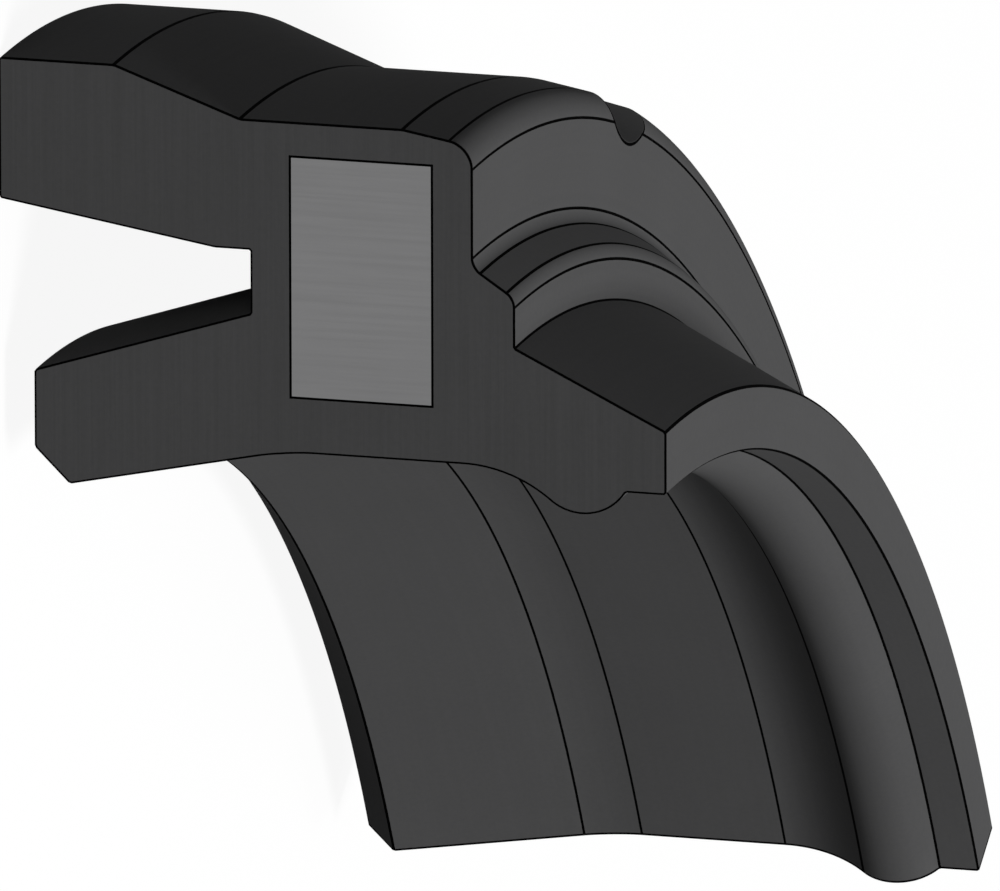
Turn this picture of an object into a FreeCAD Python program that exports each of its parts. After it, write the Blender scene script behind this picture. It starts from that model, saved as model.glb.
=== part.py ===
import FreeCAD, Part
import math
import os
import re
import Sketcher

# Pneumatic rod seal: a lip seal and dust wiper moulded in one round a flat metal ring,
# as a sample cut from the ring. The lips point down and the wiper points up.
#
# Lengths are in millimetres and angles in degrees. Radii are measured from the axis of
# the ring, and heights from the end face of the outer lip, which is the lowest face.

SIZES = [
    # The sample and the rod that the seal runs on
    ("sector_angle", 60.0, "arc of the ring that the sample covers"),
    ("rod_radius", 20.0, "piston rod"),
    # The metal ring and the rubber round it, from the rod outwards
    ("guide_clearance", 0.28, "from the rod to the plain bore behind the lip"),
    ("insert_inner_cover", 0.80, "rubber between the plain bore and the metal ring"),
    ("insert_width", 3.42, "metal ring across its flat"),
    ("insert_outer_cover", 0.50, "rubber between the metal ring and the collar"),
    # The same, from the lips upwards
    ("groove_depth", 3.60, "lip groove, from the outer lip's end face to its floor"),
    ("insert_floor_cover", 0.58, "rubber between the groove's floor and the metal ring"),
    ("insert_thickness", 2.01, "metal ring"),
    ("shoulder_cover", 0.59, "rubber between the metal ring and the shoulder face"),
    # Outer lip, which seals in the housing
    ("outer_lip_oversize", 0.66, "lip beyond the collar, pressed in by the housing"),
    ("outer_lip_land", 1.65, "height of the lip's cylindrical part"),
    ("outer_lip_length", 3.46, "height where the lip's cone runs into the collar"),
    ("outer_lip_face", 2.01, "width of the lip's end face"),
    ("outer_wall", 1.86, "wall between the collar and the root of the groove"),
    ("groove_root_width", 0.91, "width of the groove's flat floor"),
    ("groove_root_land", 0.51, "height of the groove's straight wall at its floor"),
    # Inner lip, which seals on the rod
    ("inner_lip_squeeze", 0.38, "lip inside the rod's surface, stretched by the rod"),
    ("inner_lip_setback", 0.49, "inner lip's end face, above that of the outer lip"),
    ("inner_lip_chamfer", 0.50, "chamfer at the inner lip's sealing edge"),
    ("inner_lip_face", 1.11, "width of the inner lip's end face"),
    ("inner_lip_angle", 12.0, "slope of the lip's running side"),
    ("guide_blend_radius", 4.0, "blend from the lip's slope into the plain bore"),
    # Collar and its outer corner
    ("taper_length", 1.00, "lead-in at the top of the collar"),
    ("taper_angle", 10.0, "slope of the lead-in"),
    ("corner_radius", 0.40, "round between the lead-in and the shoulder face"),
    # Step from the shoulder up to the wiper
    ("step_rise", 0.60, "height of the step"),
    ("step_angle", 33.7, "slope of the step's side"),
    ("step_blend_radius", 0.25, "rounds at the foot and the top of the step"),
    ("step_face", 0.71, "width of the step's flat top"),
    # Wiper lip, which keeps dust off the rod
    ("wiper_length", 2.16, "from the step's top to the wiper's tip"),
    ("wiper_angle", 26.0, "slope of the wiper's outer side"),
    ("wiper_face", 0.90, "width of the wiper's end face"),
    ("land_clearance", 0.03, "from the rod to the bore between bead and tip"),
    ("bead_squeeze", 0.32, "bead inside the rod's surface"),
    ("bead_radius", 0.73, "section of the bead"),
    ("bead_offset", 1.20, "from the wiper's tip down to the middle of the bead"),
    ("bead_blend_radius", 2.0, "hollow between the plain bore and the bead"),
    # Vent notch in the collar's top corner
    ("vent_angle", 20.0, "from the sample's front cut face round to the notch"),
    ("vent_depth", 0.72, "depth below the collar, where the notch leaves the shoulder"),
    ("vent_radius", 1.71, "section of the notch"),
    ("vent_slope", 28.0, "slope of the notch's bottom, which runs out in the collar"),
]

# Radii and heights that more than one feature uses, as sums of the sizes above.
GUIDE_RADIUS = "rod_radius + guide_clearance"
INSERT_INNER_RADIUS = f"{GUIDE_RADIUS} + insert_inner_cover"
INSERT_OUTER_RADIUS = f"{INSERT_INNER_RADIUS} + insert_width"
COLLAR_RADIUS = f"{INSERT_OUTER_RADIUS} + insert_outer_cover"
OUTER_LIP_RADIUS = f"{COLLAR_RADIUS} + outer_lip_oversize"
GROOVE_OUTER_RADIUS = f"{COLLAR_RADIUS} - outer_wall"
INNER_LIP_RADIUS = "rod_radius - inner_lip_squeeze"
LAND_RADIUS = "rod_radius + land_clearance"
WIPER_TIP_RADIUS = f"{LAND_RADIUS} + wiper_face"
WIPER_ROOT_RADIUS = f"{WIPER_TIP_RADIUS} + wiper_length * tan(wiper_angle)"
STEP_TOP_RADIUS = f"{WIPER_ROOT_RADIUS} + step_face"
STEP_FOOT_RADIUS = f"{STEP_TOP_RADIUS} + step_rise * tan(step_angle)"
CORNER_RADIUS = f"{COLLAR_RADIUS} - taper_length * tan(taper_angle)"

INSERT_BOTTOM = "groove_depth + insert_floor_cover"
INSERT_TOP = f"{INSERT_BOTTOM} + insert_thickness"
SHOULDER_HEIGHT = f"{INSERT_TOP} + shoulder_cover"
STEP_HEIGHT = f"{SHOULDER_HEIGHT} + step_rise"
TIP_HEIGHT = f"{STEP_HEIGHT} + wiper_length"
INNER_LIP_EDGE = "inner_lip_setback + inner_lip_chamfer"

# Sketcher's names for the ends of a line or arc, and for the radius axis and its start
START, END, CENTRE = range(1, 4)
ORIGIN = (-1, START)
RADIUS_AXIS = ORIGIN[0]

MATCH = 1e-4  # how closely an edge found in a shape has to lie where it is looked for


doc = FreeCAD.newDocument("PneumaticRodSeal")
sheet = doc.addObject("Spreadsheet::Sheet", "Sizes")
for row, (name, number, meaning) in enumerate(SIZES, 1):
    sheet.set(f"A{row}", name)
    sheet.set(f"B{row}", str(number))
    sheet.set(f"C{row}", meaning)
    sheet.setAlias(f"B{row}", name)
doc.recompute()

SIZE_NAMES = {name for name, number, meaning in SIZES}


def from_sheet(formula):
    """The formula with every size in it read from the sheet."""
    def cell(match):
        return f"Sizes.{match[0]}" if match[0] in SIZE_NAMES else match[0]
    return re.sub(r"[a-z_]+", cell, formula)


def value(formula):
    """What a formula of sizes comes to."""
    return float(sheet.evalExpression(from_sheet(formula)))


def bind(thing, path, formula):
    """Drive one property of an object with a formula of sizes."""
    thing.setExpression(path, from_sheet(formula))


def new_section(body, name):
    """A sketch in the body's XZ plane, where x is the radius and y is the height."""
    sketch = body.newObject("Sketcher::SketchObject", name)
    plane = next(item for item in body.Origin.OriginFeatures if item.Role == "XZ_Plane")
    sketch.AttachmentSupport = [(plane, "")]
    sketch.MapMode = "FlatFace"
    return sketch


def add_line(sketch, start, end, construction=False):
    """A line between two (radius, height) points."""
    segment = Part.LineSegment(FreeCAD.Vector(*start, 0), FreeCAD.Vector(*end, 0))
    return sketch.addGeometry(segment, construction)


def add_arc(sketch, centre, radius, start_angle, end_angle):
    """An arc that runs anticlockwise between two angles in radians."""
    circle = Part.Circle(FreeCAD.Vector(*centre, 0), FreeCAD.Vector(0, 0, 1), radius)
    return sketch.addGeometry(Part.ArcOfCircle(circle, start_angle, end_angle), False)


def relate(sketch, kind, *references):
    """A constraint without a size."""
    sketch.addConstraint(Sketcher.Constraint(kind, *references))


def dimension(sketch, kind, references, formula):
    """A constraint whose size is driven by a formula."""
    number = value(formula)
    if kind == "Angle":
        number = math.radians(number)
    index = sketch.addConstraint(Sketcher.Constraint(kind, *references, number))
    bind(sketch, f"Constraints[{index}]", formula)


def place(sketch, point, radius=None, height=None):
    """Dimension a point from the ring's axis and from the lowest face."""
    if radius is not None:
        dimension(sketch, "DistanceX", (*ORIGIN, *point), radius)
    if height is not None:
        dimension(sketch, "DistanceY", (*ORIGIN, *point), height)


def add_path(sketch, start, steps):
    """A run of lines from a (radius, height) point. Each step holds the direction of its
    line, Horizontal, Vertical or None for a slope, and the formulas that place its end.
    Returns the lines' numbers and the last point."""
    lines = []
    here = start
    for direction, radius, height in steps:
        there = (here[0] if radius is None else value(radius),
                 here[1] if height is None else value(height))
        line = add_line(sketch, here, there)
        if direction:
            relate(sketch, direction, line)
        if lines:
            relate(sketch, "Coincident", lines[-1], END, line, START)
        place(sketch, (line, END), radius, height)
        lines.append(line)
        here = there
    return lines, here


def add_rectangle(sketch, low_radius, high_radius, low_height, high_height):
    """An upright rectangle of the section."""
    start = (value(low_radius), value(low_height))
    lines, _ = add_path(sketch, start, [
        ("Horizontal", high_radius, None),
        ("Vertical", None, high_height),
        ("Horizontal", low_radius, None),
    ])
    closing = add_line(sketch, (start[0], value(high_height)), start)
    relate(sketch, "Coincident", lines[-1], END, closing, START)
    relate(sketch, "Coincident", closing, END, lines[0], START)
    relate(sketch, "Vertical", closing)
    place(sketch, (lines[0], START), height=low_height)


def turn_round(body, kind, name, sketch, axis, angle):
    """Turn a sketch about an axis of its own, evenly to both sides of its plane."""
    feature = body.newObject(kind, name)
    feature.Profile = sketch
    feature.ReferenceAxis = (sketch, [axis])
    feature.Midplane = True
    bind(feature, "Angle", angle)
    doc.recompute()
    return feature


def round_off(body, name, base, corners, radius):
    """Round the ring's edges that pass through the given corners of the section."""
    edges = []
    for number, edge in enumerate(base.Shape.Edges, 1):
        if isinstance(edge.Curve, Part.Circle):
            found = (edge.Curve.Radius, edge.Curve.Center.z)
            if any(math.dist(found, corner) < MATCH for corner in corners):
                edges.append(f"Edge{number}")
    if len(edges) != len(corners):
        raise RuntimeError(f"{name}: found {len(edges)} of {len(corners)} edges")
    feature = body.newObject("PartDesign::Fillet", name)
    feature.Base = (base, edges)
    bind(feature, "Radius", radius)
    doc.recompute()
    return feature


def corner(radius, height):
    """A corner of the section, as numbers."""
    return (value(radius), value(height))


# The rubber body

seal_body = doc.addObject("PartDesign::Body", "SealBody")
seal_body.Label = "seal_body"
section = new_section(seal_body, "SealSection")

# From the mouth of the lip groove, up the outside and over the wiper's tip
start = (value(f"{OUTER_LIP_RADIUS} - outer_lip_face"), 0.0)
outside, tip = add_path(section, start, [
    ("Horizontal", OUTER_LIP_RADIUS, None),
    ("Vertical", None, "outer_lip_land"),
    (None, COLLAR_RADIUS, "outer_lip_length"),
    ("Vertical", None, f"{SHOULDER_HEIGHT} - taper_length"),
    (None, CORNER_RADIUS, SHOULDER_HEIGHT),
    ("Horizontal", STEP_FOOT_RADIUS, None),
    (None, STEP_TOP_RADIUS, STEP_HEIGHT),
    ("Horizontal", WIPER_ROOT_RADIUS, None),
    (None, WIPER_TIP_RADIUS, TIP_HEIGHT),
    ("Horizontal", LAND_RADIUS, None),
])
relate(section, "PointOnObject", outside[0], START, RADIUS_AXIS)
place(section, (outside[0], START), radius=f"{OUTER_LIP_RADIUS} - outer_lip_face")

# The bead: an arc that bulges towards the rod, below the short land at the tip
bead_radius = value("bead_radius")
bead_centre = corner("rod_radius - bead_squeeze + bead_radius", f"{TIP_HEIGHT} - bead_offset")
land_rise = math.sqrt(bead_radius ** 2 - (bead_centre[0] - tip[0]) ** 2)
land_end = (tip[0], bead_centre[1] + land_rise)

# The hollow between the bead and the plain bore touches both of them
hollow_radius = value("bead_blend_radius")
guide_radius = value(GUIDE_RADIUS)
hollow_across = bead_centre[0] - (guide_radius - hollow_radius)
hollow_along = math.sqrt((bead_radius + hollow_radius) ** 2 - hollow_across ** 2)
hollow_centre = (guide_radius - hollow_radius, bead_centre[1] - hollow_along)
hollow_turn = math.atan2(hollow_along, hollow_across)

# The plain bore runs into the lip's slope through an arc that touches both
lip_slope = math.radians(value("inner_lip_angle"))
lip_edge = corner(INNER_LIP_RADIUS, INNER_LIP_EDGE)
blend_radius = value("guide_blend_radius")
slope_meets_bore = lip_edge[1] + (guide_radius - lip_edge[0]) / math.tan(lip_slope)
blend_reach = blend_radius * math.tan(lip_slope / 2)
blend_centre = (guide_radius - blend_radius, slope_meets_bore + blend_reach)
slope_end = (guide_radius - blend_reach * math.sin(lip_slope),
             slope_meets_bore - blend_reach * math.cos(lip_slope))

land = add_line(section, tip, land_end)
bead = add_arc(section, bead_centre, bead_radius,
               math.pi / 2 + math.atan2(bead_centre[0] - tip[0], land_rise),
               math.pi * 3 / 2 - math.atan2(hollow_across, hollow_along))
hollow = add_arc(section, hollow_centre, hollow_radius, 0.0, hollow_turn)
bore = add_line(section, (guide_radius, hollow_centre[1]), (guide_radius, blend_centre[1]))
blend = add_arc(section, blend_centre, blend_radius, -lip_slope, 0.0)
slope = add_line(section, lip_edge, slope_end)

relate(section, "Vertical", land)
relate(section, "Vertical", bore)
relate(section, "Coincident", outside[-1], END, land, START)
relate(section, "Coincident", land, END, bead, START)
relate(section, "Tangent", bead, END, hollow, END)
relate(section, "Tangent", hollow, START, bore, START)
relate(section, "Tangent", bore, END, blend, END)
relate(section, "Tangent", blend, START, slope, END)
place(section, (bead, CENTRE), "rod_radius - bead_squeeze + bead_radius",
      f"{TIP_HEIGHT} - bead_offset")
place(section, (bore, END), radius=GUIDE_RADIUS)
dimension(section, "Radius", (bead,), "bead_radius")
dimension(section, "Radius", (hollow,), "bead_blend_radius")
dimension(section, "Radius", (blend,), "guide_blend_radius")
dimension(section, "Angle", (slope,), "90 - inner_lip_angle")
place(section, (slope, START), INNER_LIP_RADIUS, INNER_LIP_EDGE)

# Round the inner lip's edge, up the lip groove and back to its mouth
inner, root = add_path(section, lip_edge, [
    (None, f"{INNER_LIP_RADIUS} + inner_lip_chamfer", "inner_lip_setback"),
    ("Horizontal", f"{INNER_LIP_RADIUS} + inner_lip_chamfer + inner_lip_face", None),
    (None, f"{GROOVE_OUTER_RADIUS} - groove_root_width", "groove_depth"),
    ("Horizontal", GROOVE_OUTER_RADIUS, None),
    ("Vertical", None, "groove_depth - groove_root_land"),
])
groove_side = add_line(section, root, start)
relate(section, "Coincident", slope, START, inner[0], START)
relate(section, "Coincident", inner[-1], END, groove_side, START)
relate(section, "Coincident", groove_side, END, outside[0], START)

# The rubber is moulded round the metal ring, so the ring's own outline is left out of it
add_rectangle(section, INSERT_INNER_RADIUS, INSERT_OUTER_RADIUS, INSERT_BOTTOM, INSERT_TOP)
doc.recompute()

moulding = turn_round(seal_body, "PartDesign::Revolution", "Moulding", section, "V_Axis",
                      "sector_angle")
corner_round = round_off(seal_body, "CornerRound", moulding,
                         [corner(CORNER_RADIUS, SHOULDER_HEIGHT)], "corner_radius")
step_rounds = round_off(seal_body, "StepRounds", corner_round,
                        [corner(STEP_FOOT_RADIUS, SHOULDER_HEIGHT),
                         corner(STEP_TOP_RADIUS, STEP_HEIGHT)], "step_blend_radius")

# The vent notch lets trapped air out past the collar. Its cutter is a round bar that leans
# outwards as it goes down, drawn here as one half of its length section: the side nearer
# to the ring's axis is the bottom of the notch, and the other side is the bar's own axis.
# It starts as high as the step's top and ends out at the lip's radius, clear of the rubber.
notch_section = new_section(seal_body, "VentSection")
turn = FreeCAD.Rotation(FreeCAD.Vector(0, 1, 0), value("sector_angle / 2 - vent_angle"))
notch_section.AttachmentOffset = FreeCAD.Placement(FreeCAD.Vector(), turn)
bind(notch_section, "AttachmentOffset.Rotation.Angle", "sector_angle / 2 - vent_angle")

NOTCH_TOP_RADIUS = f"{COLLAR_RADIUS} - vent_depth - step_rise * tan(vent_slope)"
lean = math.radians(value("vent_slope"))
top = FreeCAD.Vector(*corner(NOTCH_TOP_RADIUS, STEP_HEIGHT), 0)
reach = value(OUTER_LIP_RADIUS) - top.x
low = top + FreeCAD.Vector(reach, -reach / math.tan(lean), 0)
across = FreeCAD.Vector(math.cos(lean), math.sin(lean), 0) * value("vent_radius")
points = [(point.x, point.y) for point in (low, top, top + across, low + across)]
bottom, upper_end, bar_axis, lower_end = [
    add_line(notch_section, points[index], points[(index + 1) % 4]) for index in range(4)]
for first, second in ((bottom, upper_end), (upper_end, bar_axis), (bar_axis, lower_end),
                      (lower_end, bottom)):
    relate(notch_section, "Coincident", first, END, second, START)
for first, second in ((bottom, upper_end), (upper_end, bar_axis), (bar_axis, lower_end)):
    relate(notch_section, "Perpendicular", first, second)
place(notch_section, (bottom, START), radius=OUTER_LIP_RADIUS)
place(notch_section, (bottom, END), NOTCH_TOP_RADIUS, STEP_HEIGHT)
dimension(notch_section, "Angle", (bottom,), "90 + vent_slope")
dimension(notch_section, "Distance", (upper_end,), "vent_radius")
turning_line = add_line(notch_section, points[2], points[3], construction=True)
relate(notch_section, "Coincident", turning_line, START, bar_axis, START)
relate(notch_section, "Coincident", turning_line, END, bar_axis, END)
doc.recompute()

vent_notch = turn_round(seal_body, "PartDesign::Groove", "VentNotch", notch_section, "Axis0",
                        "360")

# The metal ring, which fills the space that the rubber leaves for it

support_ring = doc.addObject("PartDesign::Body", "SupportRing")
support_ring.Label = "support_ring"
ring_section = new_section(support_ring, "RingSection")
add_rectangle(ring_section, INSERT_INNER_RADIUS, INSERT_OUTER_RADIUS, INSERT_BOTTOM,
              INSERT_TOP)
doc.recompute()
ring = turn_round(support_ring, "PartDesign::Revolution", "Ring", ring_section, "V_Axis",
                  "sector_angle")

# The part's own origin is below the middle of its bounding box. The sample reaches from the
# inner lip's edge at its cut faces to the middle of the outer lip. Past half a turn, the
# outer lip is also what reaches farthest back.
BACK_RADIUS = f"(sector_angle > 180 ? {OUTER_LIP_RADIUS} : {INNER_LIP_RADIUS})"
for body in (seal_body, support_ring):
    bind(body, "Placement.Base.x",
         f"-({OUTER_LIP_RADIUS} + {BACK_RADIUS} * cos(sector_angle / 2)) / 2")
doc.recompute()

# Every object has to be sound, and every cut has to take something away

for thing in doc.Objects:
    if "Invalid" in thing.State or "Error" in thing.State:
        raise RuntimeError(f"{thing.Label} failed: {thing.State}")
for sketch in (section, notch_section, ring_section):
    if not sketch.FullyConstrained:
        raise RuntimeError(f"{sketch.Label} has a size that nothing sets")
for before, after in ((moulding, corner_round), (step_rounds, vent_notch)):
    if not after.Shape.Volume < before.Shape.Volume:
        raise RuntimeError(f"{after.Label} takes nothing away")

os.makedirs("parts", exist_ok=True)
for body in (seal_body, support_ring):
    shape = body.Shape
    if shape.isNull() or not shape.isValid() or len(shape.Solids) != 1:
        raise RuntimeError(f"{body.Label} isn't one valid solid")
    box = shape.BoundBox
    print(f"{body.Label}: {shape.Volume:.2f} mm3, "
          f"x {box.XMin:.3f} to {box.XMax:.3f}, y {box.YMin:.3f} to {box.YMax:.3f}, "
          f"z {box.ZMin:.3f} to {box.ZMax:.3f}")
    shape.exportStep(f"parts/{body.Label}.step")
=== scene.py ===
import math

import bmesh
import bpy
from mathutils import Matrix, Vector


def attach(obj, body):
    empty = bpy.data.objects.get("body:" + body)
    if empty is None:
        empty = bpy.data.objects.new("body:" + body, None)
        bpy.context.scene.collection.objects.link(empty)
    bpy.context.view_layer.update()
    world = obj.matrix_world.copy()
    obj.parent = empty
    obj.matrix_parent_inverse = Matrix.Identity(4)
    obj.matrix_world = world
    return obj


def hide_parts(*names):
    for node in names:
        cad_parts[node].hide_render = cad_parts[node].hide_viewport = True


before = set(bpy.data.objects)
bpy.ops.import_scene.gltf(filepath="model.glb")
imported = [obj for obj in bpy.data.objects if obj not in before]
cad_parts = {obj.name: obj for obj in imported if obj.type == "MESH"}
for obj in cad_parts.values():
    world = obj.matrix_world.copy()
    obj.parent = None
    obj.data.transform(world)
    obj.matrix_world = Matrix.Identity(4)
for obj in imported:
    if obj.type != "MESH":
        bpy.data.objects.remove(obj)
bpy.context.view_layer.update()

# A sample cut from a rod seal: two rubber lips and a dust wiper, moulded in one round a
# flat steel ring. The rubber is made here as a finer copy of its solid, with a thin dark
# line of painted shade wherever two of its faces meet. The steel ring is the solid itself.
#
# Section sizes are in millimetres: the radius from the ring's axis and the height from the
# outer lip's end face. The meshes are in metres.

MM = 0.001  # in metres
ARC = 60.0  # degrees of the ring that the sample covers
ARC_STEPS = 120

# Radii
INNER_LIP = 19.62  # sealing edge
LAND = 20.03       # narrow land between the bead and the wiper's tip
BORE = 20.28       # plain bore
WIPER_TIP = 20.93  # outer edge of the wiper's tip
COLLAR = 25.00
OUTER_LIP = 25.66

# Heights
SEALING_EDGE = 0.99
LEAD_IN = 5.78   # where the lead-in meets the collar
SHOULDER = 6.78
STEP = 7.38      # top of the step beside the wiper
TIP = 9.54

STEP_WIDTH = 0.71  # of the step's flat top

# Degrees between the ring's axis and a side of the section
WIPER_ANGLE = 26.0
STEP_ANGLE = 33.7
LEAD_IN_ANGLE = 10.0
INNER_LIP_ANGLE = 12.0


def widen(height, degrees):
    """How much a side that leans away from the ring's axis widens over a height."""
    return height * math.tan(math.radians(degrees))


WIPER_FOOT = WIPER_TIP + widen(TIP - STEP, WIPER_ANGLE)
STEP_TOP = WIPER_FOOT + STEP_WIDTH
STEP_FOOT = STEP_TOP + widen(STEP - SHOULDER, STEP_ANGLE)
SHOULDER_EDGE = COLLAR - widen(SHOULDER - LEAD_IN, LEAD_IN_ANGLE)
BORE_START = SEALING_EDGE + (BORE - INNER_LIP) / widen(1.0, INNER_LIP_ANGLE)

# Corners of the rubber's section, from the wiper's tip down the outside and back up the
# rod's side. A corner with a round has that radius and that many steps. A dark line of
# painted shade reaches a little way to each side of a corner, or of both ends of its round.
FINE, PLAIN, BROAD = 0.018, 0.021, 0.028
CORNERS = [
    # radius, height, round, steps, line
    (LAND, TIP, 0, 0, BROAD),         # wiper tip, rod side
    (WIPER_TIP, TIP, 0, 0, BROAD),    # wiper tip, outer side
    (WIPER_FOOT, STEP, 0, 0, PLAIN),
    (STEP_TOP, STEP, 0.25, 8, PLAIN),
    (STEP_FOOT, SHOULDER, 0.25, 8, PLAIN),
    (SHOULDER_EDGE, SHOULDER, 0.40, 12, PLAIN),
    (COLLAR, LEAD_IN, 0, 0, BROAD),
    (COLLAR, 3.46, 0, 0, BROAD),      # collar to the outer lip's cone
    (OUTER_LIP, 1.65, 0, 0, BROAD),   # cone to the outer lip's cylinder
    (OUTER_LIP, 0.00, 0, 0, BROAD),   # outer lip's end face
    (23.65, 0.00, 0, 0, BROAD),       # mouth of the groove
    (23.14, 3.09, 0, 0, PLAIN),       # straight wall at the groove's root
    (23.14, 3.60, 0, 0, PLAIN),       # groove's floor, outer side
    (22.23, 3.60, 0, 0, PLAIN),       # groove's floor, inner side
    (21.23, 0.49, 0, 0, BROAD),       # inner lip's end face
    (20.12, 0.49, 0, 0, BROAD),       # chamfer of the inner lip
    (INNER_LIP, SEALING_EDGE, 0, 0, BROAD),
    (BORE, BORE_START, 4.0, 10, FINE),
]

# The plain bore ends in a hollow, which runs smoothly into the bead behind the wiper's tip
BEAD_CENTRE, BEAD_RADIUS, BEAD_STEPS = (20.41, 8.34), 0.73, 30
HOLLOW_RADIUS, HOLLOW_STEPS = 2.0, 16
ACROSS = BEAD_CENTRE[0] - (BORE - HOLLOW_RADIUS)  # from the hollow's centre to the bead's
ALONG = math.sqrt((HOLLOW_RADIUS + BEAD_RADIUS) ** 2 - ACROSS ** 2)
HOLLOW_CENTRE = (BORE - HOLLOW_RADIUS, BEAD_CENTRE[1] - ALONG)

STEEL_LOW, STEEL_HIGH = (21.08, 4.18), (24.50, 6.19)  # two corners of the ring's section

# The vent notch is cut by a round bar that leans outwards as it goes down
NOTCH_TURN = 10.0                 # degrees from the middle of the sample
NOTCH_BOTTOM = (24.28, SHOULDER)  # deepest point of the notch in the shoulder face
NOTCH_RADIUS, NOTCH_STEPS = 1.71, 128
NOTCH_LEAN = 28.0
BAR_LENGTH = 6.0

# Widths of the dark line of painted shade along the edges of the cut faces
CUT_LINE = 0.028         # on the cut rubber
STEEL_LINE = 0.007       # on the steel
FRONT_SKIN_LINE = 0.028  # on the moulded skin beside the front cut face
BACK_SKIN_LINE = 0.042   # beside the back one, where it is all of the line that shows

# The dark line round the notch's rim is painted shade
NOTCH_LINE = (0.003, 0.043)  # where the notch's dark line starts and ends, off its wall

SLACK = 1.3      # how many times its reach the points of a dark line may be away
SLIVER = 0.0005  # corners closer than this are merged
CREASE = 20.0    # degrees that a softly shaded edge may bend

# The sample stands over the middle of its own box
RING_AXIS = Vector((-(OUTER_LIP + INNER_LIP * math.cos(math.radians(ARC / 2))) / 2 * MM, 0, 0))

# Colours
RUBBER_BLACK = (0.0765, 0.0765, 0.0775)
STEEL_GREY = (0.180, 0.180, 0.182)
# Near-black of the dark lines: painted shade along the rubber's edges, and the dark joint round
# the steel's section
SHADE_AND_JOINT_BLACK = (0.001, 0.001, 0.001, 1)
WHITE = (1, 1, 1, 1)
FLOOR_WHITE = (0.95, 0.95, 0.95, 1)  # of the floor that takes the shadow
FLOOR_GREY = (0.15, 0.15, 0.15, 1)   # of the floor that lights the object
FLOOR_GLOW = 0.92                    # share of the floor that is white even in shadow

# Floor and light, in metres
FLOOR_REACH = 4.0    # from the middle of the floor to each side
ROOM_LIGHT = 0.10    # how strongly the white room lights the object
LAMP_SIZE = 0.2      # across
LAMP_DISTANCE = 0.6  # from the sample
LAMPS = [
    # direction towards the lamp, watts
    ((-0.458, 0.219, 0.861), 3.35),  # above the rod's side
    ((-0.03, -0.65, 0.76), 0.65),    # above and behind
    ((0.09, 0.98, 0.20), 0.33),      # low in front
]

# The photograph's view, in millimetres, and what points right and up in the picture
LENS = 1500
CAMERA_PLACE = Vector((-144.23, 549.09, 152.15))
PICTURE_RIGHT = Vector((0.128246, -0.226327, 0.965572))
PICTURE_UP = Vector((0.961116, 0.268453, -0.06473))


# Shaping the rubber

def at(radius, height):
    """A point of the section, in the upright plane through the middle of the sample."""
    return Vector((radius * MM, 0, height * MM))


def turn(degrees, axis="Z"):
    """A turn about an axis through the origin."""
    return Matrix.Rotation(math.radians(degrees), 3, axis)


def add_outline(bm, points, closed=False):
    """Join the points in order with edges."""
    verts = [bm.verts.new(point) for point in points]
    for start, end in zip(verts, verts[1:] + (verts[:1] if closed else [])):
        bm.edges.new((start, end))
    return verts


def sweep(bm, vert, centre, degrees, steps):
    """Sweep a corner of the outline about a centre and give the corner it ends in."""
    swept = bmesh.ops.spin(bm, geom=[vert], cent=at(*centre), axis=(0, 1, 0),
                           angle=math.radians(degrees), steps=steps)
    return next(item for item in swept["geom_last"] if isinstance(item, bmesh.types.BMVert))


def cut_corner(bm, vert, reach, steps):
    """Cut or round one corner of the outline, as far back as the reach."""
    bmesh.ops.bevel(bm, geom=[vert], offset=reach, offset_type="OFFSET", segments=steps,
                    profile=0.5, affect="VERTICES", material=-1)


def round_corner(bm, vert, radius, steps):
    """Round one corner of the outline and give the two points where the round ends."""
    sides = [(edge.other_vert(vert).co - vert.co).normalized() for edge in vert.link_edges]
    reach = radius * MM / math.tan(sides[0].angle(sides[1]) / 2)
    ends = [vert.co + side * reach for side in sides]
    cut_corner(bm, vert, reach, steps)
    return ends


def draw_section(bm):
    """The rubber's section, with the steel ring's place left open in it. Gives the points
    that a dark line runs through, with the line's reach."""
    bore_end = at(BORE, HOLLOW_CENTRE[1])
    verts = add_outline(bm, [at(radius, height) for radius, height, *_ in CORNERS]
                        + [bore_end])
    hollow_turn = math.degrees(math.atan2(ALONG, ACROSS))
    land_turn = math.degrees(math.acos((BEAD_CENTRE[0] - LAND) / BEAD_RADIUS))
    hollow_end = sweep(bm, verts[-1], HOLLOW_CENTRE, -hollow_turn, HOLLOW_STEPS)
    bead_end = sweep(bm, hollow_end, BEAD_CENTRE, hollow_turn + land_turn, BEAD_STEPS)
    bm.edges.new((bead_end, verts[0]))

    lines = [(bore_end, FINE), (hollow_end.co.copy(), BROAD), (bead_end.co.copy(), PLAIN)]
    for vert, (_, _, radius, steps, reach) in zip(verts, CORNERS):
        ends = round_corner(bm, vert, radius, steps) if radius else [vert.co.copy()]
        lines += [(end, reach) for end in ends]

    low, high = at(*STEEL_LOW), at(*STEEL_HIGH)
    add_outline(bm, [low, Vector((high.x, 0, low.z)), high, Vector((low.x, 0, high.z))],
                closed=True)
    return lines


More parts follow.
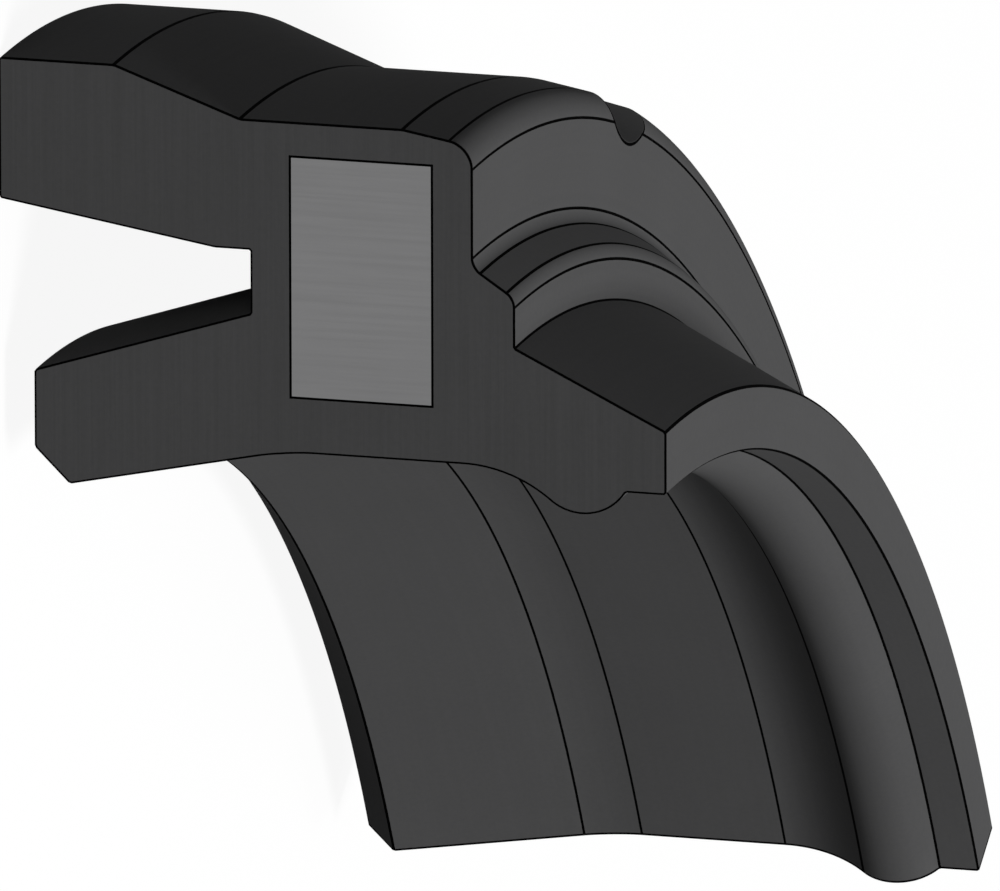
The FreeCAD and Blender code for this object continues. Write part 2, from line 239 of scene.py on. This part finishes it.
def spin_section(bm, line_layer):
    """Turn the section round the ring's axis, and mark the dark line of painted shade on the
    skin at both ends. Gives the edges round the back end and round the front end."""
    bmesh.ops.rotate(bm, verts=bm.verts, cent=(0, 0, 0), matrix=turn(-ARC / 2))
    back_edges = bm.edges[:]
    back, front = (math.degrees(width / STEEL_LOW[0])
                   for width in (BACK_SKIN_LINE, FRONT_SKIN_LINE))
    end_faces = set()
    last = bm.verts[:] + bm.edges[:]
    for degrees, steps in ((back, 1), (ARC - back - front, ARC_STEPS), (front, 1)):
        faces_before = set(bm.faces)
        spun = bmesh.ops.spin(bm, geom=last, cent=(0, 0, 0), axis=(0, 0, 1),
                              angle=math.radians(degrees), steps=steps)
        last = spun["geom_last"]
        if steps == 1:
            end_faces |= set(bm.faces) - faces_before
    # Marked last, because a spin hands the marks of its first faces on to the new ones
    for face in end_faces:
        face[line_layer] = 1.0
    return back_edges, [item for item in last if isinstance(item, bmesh.types.BMEdge)]


def mark_corners(bm, lines, line_layer):
    """Mark the narrow faces left by the cut corners of the section: all their points are
    about one reach away from where the corner was."""
    for face in bm.faces:
        spots = [Vector((vert.co.xy.length, 0, vert.co.z)) for vert in face.verts]
        if any(all((spot - point).length < SLACK * reach * MM for spot in spots)
               for point, reach in lines):
            face[line_layer] = 1.0


def close_end(bm, edges, line_layer, cut_layer):
    """Close one end with a cut face inside a dark line of painted shade."""
    filled = bmesh.ops.triangle_fill(bm, use_beauty=True, edges=edges)
    faces = [item for item in filled["geom"] if isinstance(item, bmesh.types.BMFace)]
    rim = bmesh.ops.inset_region(bm, faces=faces, thickness=CUT_LINE * MM,
                                 use_boundary=True, use_even_offset=True)
    for face in rim["faces"]:
        face[line_layer] = 1.0
    for face in faces:
        face[cut_layer] = 1.0


def make_rubber():
    """The rubber: its section turned round the ring's axis and closed by two cut faces.
    The faces that are dark lines of painted shade or cut faces are marked for the material."""
    bm = bmesh.new()
    line_layer = bm.faces.layers.float.new("line")
    cut_layer = bm.faces.layers.float.new("cut")
    lines = draw_section(bm)
    for point, reach in lines:
        corner = min(bm.verts, key=lambda vert: (vert.co - point).length)
        cut_corner(bm, corner, reach * MM, 1)

    ends = spin_section(bm, line_layer)
    mark_corners(bm, lines, line_layer)
    for edges in ends:
        close_end(bm, edges, line_layer, cut_layer)
    bmesh.ops.recalc_face_normals(bm, faces=bm.faces)
    return bm


def notch_axis():
    """A point on the axis of the notch's cutter, and the axis's direction upwards."""
    outwards = turn(-NOTCH_LEAN, "Y") @ Vector((1, 0, 0))
    upwards = turn(-NOTCH_LEAN, "Y") @ Vector((0, 0, 1))
    middle = at(*NOTCH_BOTTOM) + outwards * NOTCH_RADIUS * MM
    return turn(NOTCH_TURN) @ middle, turn(NOTCH_TURN) @ upwards


def make_notch_cutter():
    """The round bar that cuts the vent notch."""
    bm = bmesh.new()
    bmesh.ops.create_cone(bm, cap_ends=True, segments=NOTCH_STEPS,
                          radius1=NOTCH_RADIUS * MM, radius2=NOTCH_RADIUS * MM,
                          depth=BAR_LENGTH * MM)
    middle, _ = notch_axis()
    bmesh.ops.rotate(bm, verts=bm.verts, cent=(0, 0, 0), matrix=turn(-NOTCH_LEAN, "Y"))
    bmesh.ops.rotate(bm, verts=bm.verts, cent=(0, 0, 0), matrix=turn(NOTCH_TURN))
    bmesh.ops.translate(bm, verts=bm.verts, vec=middle)
    return bm


def finish_piece(name, bm):
    """Turn a bmesh drawn about the ring's axis into an object in the sample's place."""
    bmesh.ops.translate(bm, verts=bm.verts, vec=RING_AXIS)
    mesh = bpy.data.meshes.new(name)
    bm.to_mesh(mesh)
    bm.free()
    piece = bpy.data.objects.new(name, mesh)
    bpy.context.scene.collection.objects.link(piece)
    return piece


def cut_away(piece, cutter):
    """Cut one object's shape out of another, and remove the cutter."""
    cut = piece.modifiers.new("cut", "BOOLEAN")
    cut.operation = "DIFFERENCE"
    cut.solver = "EXACT"
    cut.object = cutter
    graph = bpy.context.evaluated_depsgraph_get()
    mesh = bpy.data.meshes.new_from_object(piece.evaluated_get(graph))
    piece.modifiers.clear()
    piece.data = mesh
    bpy.data.objects.remove(cutter)


def tidy_mesh(piece):
    """Merge the slivers that a cut leaves, and shade the object round, up to the dark lines
    and to edges that bend more than the crease angle."""
    bm = bmesh.new()
    bm.from_mesh(piece.data)
    bmesh.ops.remove_doubles(bm, verts=bm.verts, dist=SLIVER * MM)
    bmesh.ops.dissolve_degenerate(bm, edges=bm.edges, dist=SLIVER * MM)
    bmesh.ops.recalc_face_normals(bm, faces=bm.faces)
    for face in bm.faces:
        face.smooth = True
    line_layer = bm.faces.layers.float["line"]
    for edge in bm.edges:
        beside_line = len({face[line_layer] for face in edge.link_faces}) > 1
        edge.smooth = edge.calc_face_angle(math.pi) < math.radians(CREASE) and not beside_line
    bm.to_mesh(piece.data)
    bm.free()


# Node helpers

def add_node(tree, kind, inputs=(), **settings):
    """A shader node. Each input is a value or another node's output."""
    node = tree.nodes.new("ShaderNode" + kind)
    for name, setting in settings.items():
        setattr(node, name, setting)
    for name, given in dict(inputs).items():
        if isinstance(given, bpy.types.NodeSocket):
            tree.links.new(given, node.inputs[name])
        else:
            node.inputs[name].default_value = given
    return node


def new_group(name, inputs, outputs):
    """A node group with named sockets. Gives the tree and its input and output nodes."""
    tree = bpy.data.node_groups.new(name, "ShaderNodeTree")
    for label, kind in inputs.items():
        tree.interface.new_socket(label, in_out="INPUT", socket_type="NodeSocket" + kind)
    for label, kind in outputs.items():
        tree.interface.new_socket(label, in_out="OUTPUT", socket_type="NodeSocket" + kind)
    return tree, tree.nodes.new("NodeGroupInput"), tree.nodes.new("NodeGroupOutput")


def use_group(tree, group, inputs=()):
    """A node that uses a group in another tree."""
    return add_node(tree, "Group", inputs, node_tree=group)


def new_material(name):
    """A material. Gives it, its tree and its empty Principled shader."""
    material = bpy.data.materials.new(name)
    material.use_nodes = True
    return material, material.node_tree, material.node_tree.nodes["Principled BSDF"]


def vary(tree, value, low, high):
    """Spread a pattern between two levels. Noise keeps mostly between 0.3 and 0.7."""
    spread = add_node(tree, "MapRange", {"Value": value, "From Min": 0.3, "From Max": 0.7,
                                         "To Min": low, "To Max": high})
    return spread.outputs["Result"]


def multiply(tree, first, second):
    return add_node(tree, "Math", {0: first, 1: second}, operation="MULTIPLY").outputs[0]


def pick(tree, mask, unmarked, marked):
    """The first value where a mask is 0 and the second where it is 1."""
    mix = add_node(tree, "Mix", {"Factor": mask, "A": unmarked, "B": marked},
                   data_type="FLOAT")
    return mix.outputs["Result"]


def place_in_section(tree):
    """The radius from the ring's axis and the height of each point."""
    place = add_node(tree, "TexCoord").outputs["Object"]
    from_axis = add_node(tree, "VectorMath", {0: place, 1: RING_AXIS}, operation="SUBTRACT")
    flat = add_node(tree, "VectorMath", {0: from_axis.outputs[0], 1: (1, 1, 0)},
                    operation="MULTIPLY")
    radius = add_node(tree, "VectorMath", {0: flat.outputs[0]}, operation="LENGTH")
    parts = add_node(tree, "SeparateXYZ", {0: place})
    return radius.outputs["Value"], parts.outputs["Z"]


# Patterns

def section_streaks_group():
    """Streaks that run one way over the ring's section: along the radius on a cut face, or
    round the ring on a moulded one. The scales count streaks per metre."""
    tree, given, result = new_group(
        "section_streaks", {"Radius Scale": "Float", "Height Scale": "Float"},
        {"Streaks": "Float"})
    radius, height = place_in_section(tree)
    section = add_node(tree, "CombineXYZ",
                       {"X": multiply(tree, radius, given.outputs["Radius Scale"]),
                        "Y": multiply(tree, height, given.outputs["Height Scale"])})
    noise = add_node(tree, "TexNoise", {"Vector": section.outputs[0], "Scale": 1.0,
                                        "Detail": 3.0, "Roughness": 0.6},
                     noise_dimensions="2D")
    tree.links.new(noise.outputs["Fac"], result.inputs["Streaks"])
    return tree


def grain_group():
    """The fine grain of a moulded skin, with slow cloudy patches under it."""
    tree, _, result = new_group("moulded_grain", {}, {"Grain": "Float", "Clouds": "Float"})
    place = add_node(tree, "TexCoord").outputs["Object"]
    grain = add_node(tree, "TexNoise", {"Vector": place, "Scale": 14000.0, "Detail": 2.0,
                                        "Roughness": 0.55})
    clouds = add_node(tree, "TexNoise", {"Vector": place, "Scale": 450.0, "Detail": 4.0,
                                         "Roughness": 0.55})
    tree.links.new(grain.outputs["Fac"], result.inputs["Grain"])
    tree.links.new(clouds.outputs["Fac"], result.inputs["Clouds"])
    return tree


def notch_rim_group():
    """A thin line of painted shade just outside the vent notch, all round its rim."""
    tree, _, result = new_group("notch_rim", {}, {"Line": "Float"})
    middle, upwards = notch_axis()
    place = add_node(tree, "TexCoord").outputs["Object"]
    from_axis = add_node(tree, "VectorMath", {0: place, 1: middle + RING_AXIS},
                         operation="SUBTRACT")
    aside = add_node(tree, "VectorMath", {0: from_axis.outputs[0], 1: upwards},
                     operation="CROSS_PRODUCT")
    distance = add_node(tree, "VectorMath", {0: aside.outputs[0]}, operation="LENGTH")
    middle_of_line = NOTCH_RADIUS + sum(NOTCH_LINE) / 2
    reach = (NOTCH_LINE[1] - NOTCH_LINE[0]) / 2
    near_rim = add_node(tree, "Math", {0: distance.outputs["Value"],
                                       1: middle_of_line * MM, 2: reach * MM},
                        operation="COMPARE")
    tree.links.new(near_rim.outputs[0], result.inputs["Line"])
    return tree


STREAKS = section_streaks_group()
GRAIN = grain_group()
NOTCH_RIM = notch_rim_group()


# Materials

def shaded_colour(tree, colour, shade, lines):
    """A colour made lighter and darker by a pattern, and black on the dark lines: painted shade
    along the rubber's edges, a dark joint round the steel.
    """
    body = add_node(tree, "VectorMath", {0: colour, "Scale": shade}, operation="SCALE")
    marked = add_node(tree, "Mix", {"Factor": lines, "A": body.outputs[0],
                                    "B": SHADE_AND_JOINT_BLACK}, data_type="RGBA")
    return marked.outputs["Result"]


def moulded_rubber():
    """Black rubber: a matt moulded skin with fine grain, and cut faces with the drag lines
    of a blade. A dark line of painted shade follows its corners."""
    material, tree, shader = new_material("moulded_rubber")
    cut = add_node(tree, "Attribute", attribute_name="cut").outputs["Fac"]
    # The line marks and the notch's rim are painted shade, black in the colour
    line = add_node(tree, "Attribute", attribute_name="line").outputs["Fac"]
    rim = use_group(tree, NOTCH_RIM).outputs["Line"]
    lines = add_node(tree, "Math", {0: line, 1: rim}, operation="MAXIMUM").outputs[0]
    skin = use_group(tree, GRAIN)
    mould_rings = use_group(tree, STREAKS, {"Radius Scale": 9000.0, "Height Scale": 9000.0})
    blade = use_group(tree, STREAKS, {"Radius Scale": 260.0, "Height Scale": 16000.0})

    clouds = vary(tree, skin.outputs["Clouds"], 0.975, 1.025)
    speckle = vary(tree, skin.outputs["Grain"], 0.975, 1.025)
    turned = vary(tree, mould_rings.outputs["Streaks"], 0.985, 1.015)
    dragged = vary(tree, blade.outputs["Streaks"], 0.965, 1.035)
    surface = pick(tree, cut, turned, dragged)
    shade = multiply(tree, multiply(tree, clouds, speckle), surface)
    tree.links.new(shaded_colour(tree, RUBBER_BLACK, shade, lines),
                   shader.inputs["Base Color"])

    matt = pick(tree, cut, 0.80, 0.88)
    rough = multiply(tree, matt, vary(tree, skin.outputs["Clouds"], 0.97, 1.03))
    tree.links.new(pick(tree, lines, rough, 1.0), shader.inputs["Roughness"])
    shader.inputs["Specular IOR Level"].default_value = 0.004

    height = pick(tree, cut, skin.outputs["Grain"], blade.outputs["Streaks"])
    bump = add_node(tree, "Bump", {"Strength": 0.5, "Distance": 0.0025 * MM, "Height": height})
    tree.links.new(bump.outputs["Normal"], shader.inputs["Normal"])
    return material


def steel_line(tree):
    """A mask of the dark line along the sides of the steel's section."""
    inside = [add_node(tree, "Math", {0: place, 1: (low + high) / 2 * MM,
                                      2: ((high - low) / 2 - STEEL_LINE) * MM},
                       operation="COMPARE").outputs[0]
              for place, low, high in zip(place_in_section(tree), STEEL_LOW, STEEL_HIGH)]
    return pick(tree, multiply(tree, *inside), 1.0, 0.0)


def sawn_steel():
    """Steel of the stiffening ring, seen where the saw went through it."""
    material, tree, shader = new_material("sawn_steel")
    saw = use_group(tree, STREAKS, {"Radius Scale": 14000.0, "Height Scale": 320.0})
    grain = use_group(tree, GRAIN)
    marks = vary(tree, saw.outputs["Streaks"], 0.96, 1.04)
    clouds = vary(tree, grain.outputs["Clouds"], 0.97, 1.03)
    shade = multiply(tree, marks, clouds)
    tree.links.new(shaded_colour(tree, STEEL_GREY, shade, steel_line(tree)),
                   shader.inputs["Base Color"])
    shader.inputs["Metallic"].default_value = 1.0
    rough = vary(tree, saw.outputs["Streaks"], 0.40, 0.52)
    tree.links.new(rough, shader.inputs["Roughness"])
    bump = add_node(tree, "Bump", {"Strength": 0.4, "Distance": 0.002 * MM,
                                   "Height": saw.outputs["Streaks"]})
    tree.links.new(bump.outputs["Normal"], shader.inputs["Normal"])
    return material


# Floor, light and background

def seen_directly(tree):
    """A mask of the rays that show the background: the camera's own, and those that come
    by way of metal or glass."""
    path = add_node(tree, "LightPath")
    first = add_node(tree, "Math", {0: path.outputs["Is Camera Ray"],
                                    1: path.outputs["Is Glossy Ray"]}, operation="MAXIMUM")
    both = add_node(tree, "Math", {0: first.outputs[0],
                                   1: path.outputs["Is Transmission Ray"]},
                    operation="MAXIMUM")
    return both.outputs[0]


def pale_floor():
    """White where it is seen, with the object's soft shadow, and a plain pale grey where
    it lights the object."""
    material = bpy.data.materials.new("pale_floor")
    material.use_nodes = True
    tree = material.node_tree
    tree.nodes.clear()
    shadowed = add_node(tree, "BsdfDiffuse", {"Color": FLOOR_WHITE})
    glow = add_node(tree, "Emission", {"Color": WHITE, "Strength": 1.0})
    shown = add_node(tree, "MixShader", {"Fac": FLOOR_GLOW, 1: shadowed.outputs[0],
                                         2: glow.outputs[0]})
    grey = add_node(tree, "BsdfDiffuse", {"Color": FLOOR_GREY})
    surface = add_node(tree, "MixShader", {"Fac": seen_directly(tree), 1: grey.outputs[0],
                                           2: shown.outputs[0]})
    add_node(tree, "OutputMaterial", {"Surface": surface.outputs[0]})
    return material


def make_floor():
    bm = bmesh.new()
    bmesh.ops.create_grid(bm, x_segments=1, y_segments=1, size=FLOOR_REACH)
    mesh = bpy.data.meshes.new("floor")
    bm.to_mesh(mesh)
    bm.free()
    mesh.materials.append(pale_floor())
    floor = bpy.data.objects.new("floor", mesh)
    bpy.context.scene.collection.objects.link(floor)


def light_studio():
    """A white room that lights the object dimly, and a strong round lamp with two weak ones."""
    world = bpy.data.worlds.new("white_room")
    world.use_nodes = True
    tree = world.node_tree
    strength = add_node(tree, "MapRange", {"Value": seen_directly(tree),
                                           "To Min": ROOM_LIGHT, "To Max": 1.0})
    room = tree.nodes["Background"]
    room.inputs["Color"].default_value = WHITE
    tree.links.new(strength.outputs["Result"], room.inputs["Strength"])
    bpy.context.scene.world = world

    for number, (direction, watts) in enumerate(LAMPS, 1):
        lamp = bpy.data.lights.new(f"lamp_{number}", "AREA")
        lamp.shape = "DISK"
        lamp.size = LAMP_SIZE
        lamp.energy = watts
        towards_lamp = Vector(direction).normalized()
        holder = bpy.data.objects.new(lamp.name, lamp)
        holder.location = towards_lamp * LAMP_DISTANCE
        holder.rotation_euler = towards_lamp.to_track_quat("Z", "Y").to_euler()
        bpy.context.scene.collection.objects.link(holder)


def place_camera():
    """A long lens, because the photograph's view is all but parallel. The ring's axis runs
    from left to right in it."""
    lens = bpy.data.cameras.new("camera")
    lens.lens = LENS
    lens.sensor_width = 36
    lens.clip_start, lens.clip_end = 0.1, 20
    towards_camera = PICTURE_RIGHT.cross(PICTURE_UP)
    camera = bpy.data.objects.new("camera", lens)
    camera.matrix_world = Matrix((PICTURE_RIGHT, PICTURE_UP,
                                  towards_camera)).transposed().to_4x4()
    camera.location = CAMERA_PLACE * MM
    bpy.context.scene.collection.objects.link(camera)
    bpy.context.scene.camera = camera


# The sample on its floor

rubber = finish_piece("rubber_body", make_rubber())
cut_away(rubber, finish_piece("notch_cutter", make_notch_cutter()))
tidy_mesh(rubber)
rubber.data.materials.append(moulded_rubber())
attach(rubber, "root")
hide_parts("seal_body")

steel = sawn_steel()
for slot in bpy.data.objects["support_ring"].material_slots:
    slot.material = steel

make_floor()
light_studio()
place_camera()
bpy.context.scene.view_settings.view_transform = "Standard"
